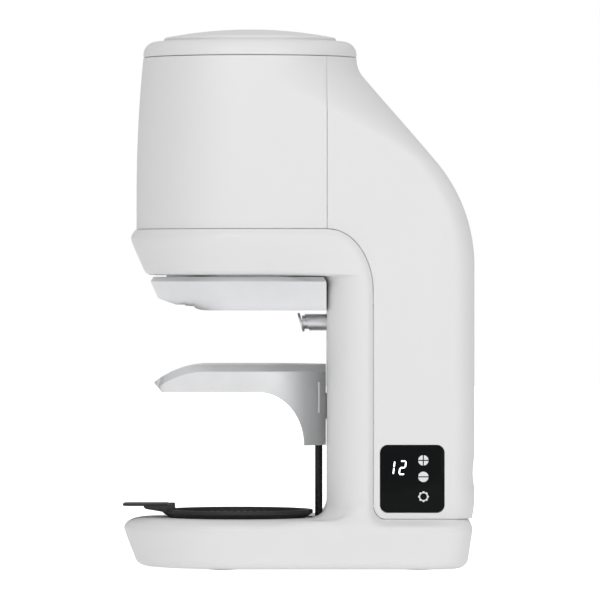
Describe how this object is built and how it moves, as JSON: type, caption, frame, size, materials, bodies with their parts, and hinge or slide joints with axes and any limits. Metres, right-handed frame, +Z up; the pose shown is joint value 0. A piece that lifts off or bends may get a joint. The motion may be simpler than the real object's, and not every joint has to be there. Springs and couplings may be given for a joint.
{
  "type": "automatic coffee tamper",
  "caption": "Countertop electric coffee tamper: a C-shaped stand with a powered ram over a portafilter clamp, an adjustable fork, a side display and a silicone mat.",
  "frame": {"origin": "on the tamping axis, at the level of the worktop", "axes": "+Z up, a portafilter enters from -Y, the display faces +X"},
  "size_m": [0.1386, 0.1932, 0.2948],
  "materials": {
    "white_shell": "satin white moulded ABS",
    "alu_frame": "cast, plain",
    "alu_satin": "machined and satin anodised",
    "alu_blasted": "bead blasted",
    "steel": "zinc plated",
    "steel_dark": "black oxide",
    "brass": "turned",
    "rubber_black": "matt moulded silicone",
    "plastic_black": "moulded",
    "nylon": "moulded nylon",
    "glass_black": "polished black acrylic window",
    "board": "solder mask"
  },
  "bodies": {
    "stand": {"c_frame": "white_shell", "rear_cover": "white_shell", "head_cover": "white_shell", "top_cap": "white_shell", "top_disc": "white_shell", "chassis": "alu_frame", "base_plate": "steel", "rubber_feet": "rubber_black", "base_screws": "steel", "clamp_block": "alu_satin", "clamp_screws": "steel", "head_pillars": "alu_frame", "guide_rods": "steel", "motor_plate": "alu_frame", "plate_screws": "steel", "drive_motor": "steel", "motor_encoder": "plastic_black", "motor_screws": "steel", "screw_bearing": "steel", "limit_switches": "plastic_black", "control_board": "board", "display_window": "glass_black", "display_board": "board", "switch_housing": "plastic_black", "power_inlet": "plastic_black", "inlet_bezel": "white_shell", "sensor_bush": "alu_satin", "sensor_switch": "plastic_black", "fork_rail": "steel", "rail_screws": "steel", "spindle_bush": "brass"},
    "screw": {"lead_screw": "steel", "screw_gear": "nylon"},
    "pinion": {"pinion": "brass"},
    "ram": {"ram_carriage": "alu_frame", "ram_nut": "brass", "guide_bushes": "brass", "ram_tube": "alu_frame", "load_cell": "steel", "tamper_stem": "steel", "tamper_foot": "steel", "stem_screw": "steel"},
    "fork_unit": {"fork": "alu_blasted", "fork_slider": "alu_frame", "fork_screws": "steel"},
    "adjuster": {"spindle": "steel_dark", "spindle_knob": "plastic_black"},
    "sensor": {"sensor_button": "alu_satin", "sensor_spring": "steel"},
    "power_rocker": {"rocker": "plastic_black"},
    "mat_unit": {"mat": "rubber_black"}
  },
  "joints": [
    {"name": "screw_turn", "type": "hinge", "parent": "stand", "child": "screw", "pos_m": [0, 0, 0.26], "axis": [0, 0, 1], "range_deg": [0, 2521]},
    {"name": "ram_slide", "type": "slide", "parent": "stand", "child": "ram", "axis": [0, 0, -1], "range_m": [0, 0.028]},
    {"name": "pinion_turn", "type": "hinge", "parent": "stand", "child": "pinion", "pos_m": [0, 0.044, 0.26], "axis": [0, 0, 1], "range_deg": [-13326, 0]},
    {"name": "adjuster_turn", "type": "hinge", "parent": "stand", "child": "adjuster", "pos_m": [0, 0.0378, 0.01], "axis": [0, 0, 1], "range_deg": [-2881, 1441]},
    {"name": "fork_slide", "type": "slide", "parent": "stand", "child": "fork_unit", "axis": [0, 0, 1], "range_m": [-0.008, 0.004]},
    {"name": "sensor_press", "type": "slide", "parent": "stand", "child": "sensor", "axis": [0, 1, 0], "range_m": [0, 0.002], "stiffness_N_per_m": 400, "springref_m": -0.0005},
    {"name": "rocker_tilt", "type": "hinge", "parent": "stand", "child": "power_rocker", "pos_m": [0, 0.1172, 0.0528], "axis": [1, 0, 0], "range_deg": [-5, 5]},
    {"name": "mat_lift", "type": "slide", "parent": "stand", "child": "mat_unit", "axis": [0, 0, 1], "range_m": [0, 0.018]}
  ],
  "couplings": [
    {"joint": "screw_turn", "follows": "ram_slide", "rad_per_m": 1570.8},
    {"joint": "pinion_turn", "follows": "ram_slide", "rad_per_m": -8302.8},
    {"joint": "adjuster_turn", "follows": "fork_slide", "rad_per_m": 6283.2}
  ]
}
